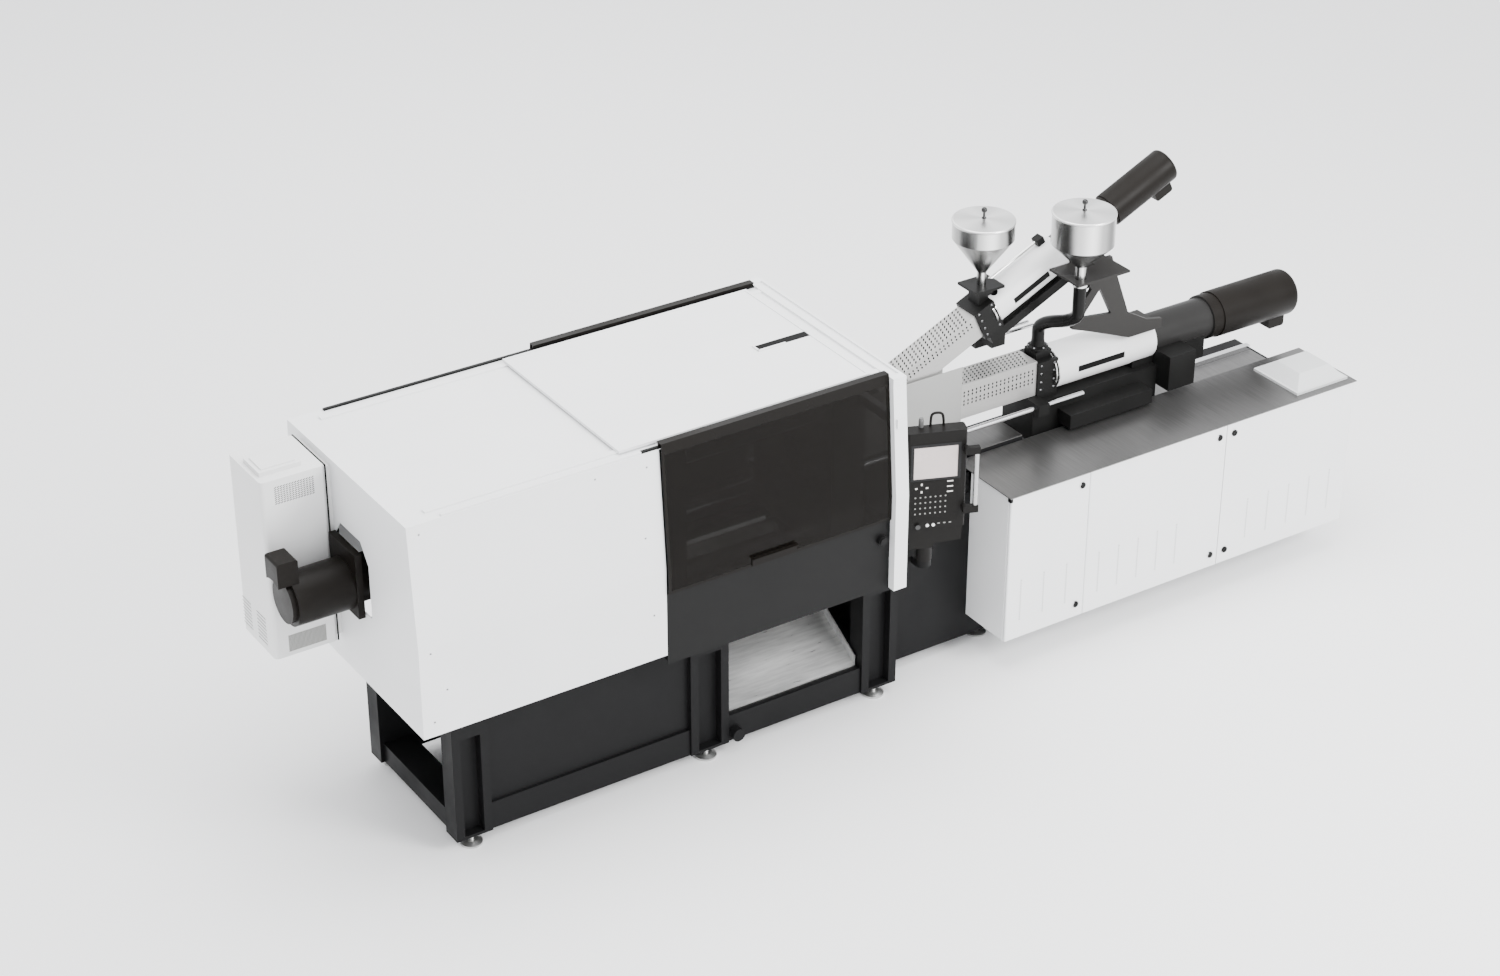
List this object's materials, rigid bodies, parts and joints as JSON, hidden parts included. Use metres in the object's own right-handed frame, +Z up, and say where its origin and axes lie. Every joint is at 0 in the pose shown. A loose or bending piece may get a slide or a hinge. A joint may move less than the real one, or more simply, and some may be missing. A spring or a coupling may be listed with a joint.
{
  "type": "injection moulding machine",
  "caption": "Horizontal injection moulding machine with enclosed clamp, sliding guard doors, a level and an inclined injection unit, hoppers, swivel control panel and cabinet.",
  "frame": {"origin": "on the floor under the middle of the whole machine's box", "axes": "+X from the clamp end to the injection end, -Y the operator's side, +Z up"},
  "size_m": [6.1, 1.5188, 2.419],
  "materials": {
    "barrel_1": "machined",
    "barrel_2": "machined",
    "barrel_guard_1": "perforated sheet",
    "barrel_guard_2": "perforated sheet",
    "base_frame": "satin",
    "cabinet_carcass": "satin",
    "cabinet_door_1": "satin powder coat",
    "cabinet_door_2": "satin powder coat",
    "cabinet_door_3": "satin powder coat",
    "carriage": "satin",
    "clamp_motor": "matt",
    "clamp_ram": "satin",
    "clamp_screw": "ground",
    "ejector": "ground",
    "emergency_stop": "gloss",
    "feed_block_1": "machined",
    "feed_block_2": "machined",
    "feed_pipe": "matt",
    "fixed_platen": "painted",
    "front_door": "satin",
    "front_door_window": "smoked",
    "guide_rails": "polished",
    "hopper_1": "brushed",
    "hopper_2": "brushed",
    "hopper_bracket": "satin",
    "hopper_lid_1": "brushed",
    "hopper_lid_2": "brushed",
    "housing_frame": "satin",
    "housing_panels": "satin powder coat",
    "incline_beam": "satin",
    "injection_base": "satin",
    "left_cabinet": "satin",
    "levelling_feet": "satin",
    "moving_platen": "painted",
    "nozzle_guard": "satin",
    "panel_arm": "satin",
    "panel_housing": "matt",
    "panel_keypad": "matt",
    "panel_screen": "gloss",
    "parts_chute": "brushed",
    "portal_frame": "satin",
    "push_button_1": "gloss",
    "push_button_2": "gloss",
    "ram_1": "ground",
    "ram_2": "ground",
    "rear_door": "satin",
    "rear_door_window": "smoked",
    "rear_platen": "painted",
    "roof_cover": "satin",
    "roof_panel": "satin powder coat",
    "screw_1": "ground",
    "screw_2": "ground",
    "side_aprons": "satin",
    "steel_tops": "brushed",
    "tie_bars": "polished",
    "unit_cover_1": "satin",
    "unit_cover_2": "satin",
    "unit_drive_1": "matt",
    "unit_drive_2": "matt",
    "vent_cap": "satin"
  },
  "bodies": {
    "machine": {"base_frame": "base_frame", "cabinet_carcass": "cabinet_carcass", "clamp_motor": "clamp_motor", "fixed_platen": "fixed_platen", "guide_rails": "guide_rails", "housing_frame": "housing_frame", "housing_panels": "housing_panels", "injection_base": "injection_base", "left_cabinet": "left_cabinet", "levelling_feet": "levelling_feet", "nozzle_guard": "nozzle_guard", "panel_arm": "panel_arm", "parts_chute": "parts_chute", "portal_frame": "portal_frame", "rear_platen": "rear_platen", "roof_panel": "roof_panel", "side_aprons": "side_aprons", "steel_tops": "steel_tops", "tie_bars": "tie_bars", "vent_cap": "vent_cap"},
    "clamp_screw": {"clamp_screw": "clamp_screw"},
    "moving_platen": {"moving_platen": "moving_platen", "clamp_ram": "clamp_ram"},
    "ejector": {"ejector": "ejector"},
    "front_door": {"front_door": "front_door", "front_door_window": "front_door_window"},
    "rear_door": {"rear_door": "rear_door", "rear_door_window": "rear_door_window"},
    "roof_cover": {"roof_cover": "roof_cover"},
    "cabinet_door_1": {"cabinet_door_1": "cabinet_door_1"},
    "cabinet_door_2": {"cabinet_door_2": "cabinet_door_2"},
    "cabinet_door_3": {"cabinet_door_3": "cabinet_door_3"},
    "control_panel": {"panel_housing": "panel_housing", "panel_screen": "panel_screen", "panel_keypad": "panel_keypad"},
    "emergency_stop": {"emergency_stop": "emergency_stop"},
    "push_button_1": {"push_button_1": "push_button_1"},
    "push_button_2": {"push_button_2": "push_button_2"},
    "carriage": {"carriage": "carriage", "barrel_1": "barrel_1", "barrel_guard_1": "barrel_guard_1", "unit_cover_1": "unit_cover_1", "unit_drive_1": "unit_drive_1", "feed_block_1": "feed_block_1", "incline_beam": "incline_beam", "hopper_bracket": "hopper_bracket", "hopper_2": "hopper_2", "feed_pipe": "feed_pipe"},
    "ram_1": {"ram_1": "ram_1"},
    "screw_1": {"screw_1": "screw_1"},
    "unit_2": {"barrel_2": "barrel_2", "barrel_guard_2": "barrel_guard_2", "unit_cover_2": "unit_cover_2", "unit_drive_2": "unit_drive_2", "feed_block_2": "feed_block_2", "hopper_1": "hopper_1"},
    "ram_2": {"ram_2": "ram_2"},
    "screw_2": {"screw_2": "screw_2"},
    "hopper_lid_1": {"hopper_lid_1": "hopper_lid_1"},
    "hopper_lid_2": {"hopper_lid_2": "hopper_lid_2"}
  },
  "joints": [
    {"name": "clamp_stroke", "type": "slide", "parent": "machine", "child": "moving_platen", "axis": [1, 0, 0], "range_m": [0, 0.5]},
    {"name": "clamp_screw_spin", "type": "hinge", "parent": "machine", "child": "clamp_screw", "pos_m": [-2.253, 0.06736, 1.335], "axis": [1, 0, 0], "range_deg": [0, 9000]},
    {"name": "ejector_stroke", "type": "slide", "parent": "moving_platen", "child": "ejector", "axis": [1, 0, 0], "range_m": [0, 0.06]},
    {"name": "front_door_slide", "type": "slide", "parent": "machine", "child": "front_door", "axis": [-1, 0, 0], "range_m": [0, 1]},
    {"name": "rear_door_slide", "type": "slide", "parent": "machine", "child": "rear_door", "axis": [-1, 0, 0], "range_m": [0, 1]},
    {"name": "roof_cover_slide", "type": "slide", "parent": "machine", "child": "roof_cover", "axis": [-1, 0, 0], "range_m": [0, 0.95]},
    {"name": "cabinet_door_1_hinge", "type": "hinge", "parent": "machine", "child": "cabinet_door_1", "pos_m": [0.7145, -0.54664, 0.6], "axis": [0, 0, -1], "range_deg": [0, 90]},
    {"name": "cabinet_door_2_hinge", "type": "hinge", "parent": "machine", "child": "cabinet_door_2", "pos_m": [1.2265, -0.54664, 0.6], "axis": [0, 0, -1], "range_deg": [0, 90]},
    {"name": "cabinet_door_3_hinge", "type": "hinge", "parent": "machine", "child": "cabinet_door_3", "pos_m": [3.0245, -0.54664, 0.6], "axis": [0, 0, 1], "range_deg": [0, 90]},
    {"name": "panel_swivel", "type": "hinge", "parent": "machine", "child": "control_panel", "pos_m": [0.147, -0.57264, 0.95], "axis": [0, 0, 1], "range_deg": [-60, 50]},
    {"name": "emergency_stop_push", "type": "slide", "parent": "control_panel", "child": "emergency_stop", "axis": [0.3746, 0.9272, 0], "range_m": [0, 0.004], "stiffness_N_per_m": 4000, "springref_m": -0.001},
    {"name": "push_button_1_press", "type": "slide", "parent": "control_panel", "child": "push_button_1", "axis": [0.3746, 0.9272, 0], "range_m": [0, 0.003], "stiffness_N_per_m": 1500, "springref_m": -0.001},
    {"name": "push_button_2_press", "type": "slide", "parent": "control_panel", "child": "push_button_2", "axis": [0.3746, 0.9272, 0], "range_m": [0, 0.003], "stiffness_N_per_m": 1500, "springref_m": -0.001},
    {"name": "carriage_slide", "type": "slide", "parent": "machine", "child": "carriage", "axis": [1, 0, 0], "range_m": [0, 0.25]},
    {"name": "injection_stroke_1", "type": "slide", "parent": "carriage", "child": "ram_1", "axis": [1, 0, 0], "range_m": [0, 0.16]},
    {"name": "screw_1_spin", "type": "hinge", "parent": "ram_1", "child": "screw_1", "pos_m": [1.147, 0.06736, 1.335], "axis": [1, 0, 0], "continuous": true},
    {"name": "unit_2_slide", "type": "slide", "parent": "carriage", "child": "unit_2", "axis": [0.9063, 0, 0.4226], "range_m": [0, 0.18]},
    {"name": "injection_stroke_2", "type": "slide", "parent": "unit_2", "child": "ram_2", "axis": [0.9063, 0, 0.4226], "range_m": [0, 0.12]},
    {"name": "screw_2_spin", "type": "hinge", "parent": "ram_2", "child": "screw_2", "pos_m": [0.82268, 0.06736, 1.71536], "axis": [0.9063, 0, 0.4226], "continuous": true},
    {"name": "hopper_lid_1_lift", "type": "slide", "parent": "unit_2", "child": "hopper_lid_1", "axis": [0, 0, 1], "range_m": [0, 0.15]},
    {"name": "hopper_lid_2_lift", "type": "slide", "parent": "carriage", "child": "hopper_lid_2", "axis": [0, 0, 1], "range_m": [0, 0.15]}
  ],
  "couplings": [
    {"joint": "clamp_screw_spin", "follows": "clamp_stroke", "rad_per_m": 314.16}
  ]
}
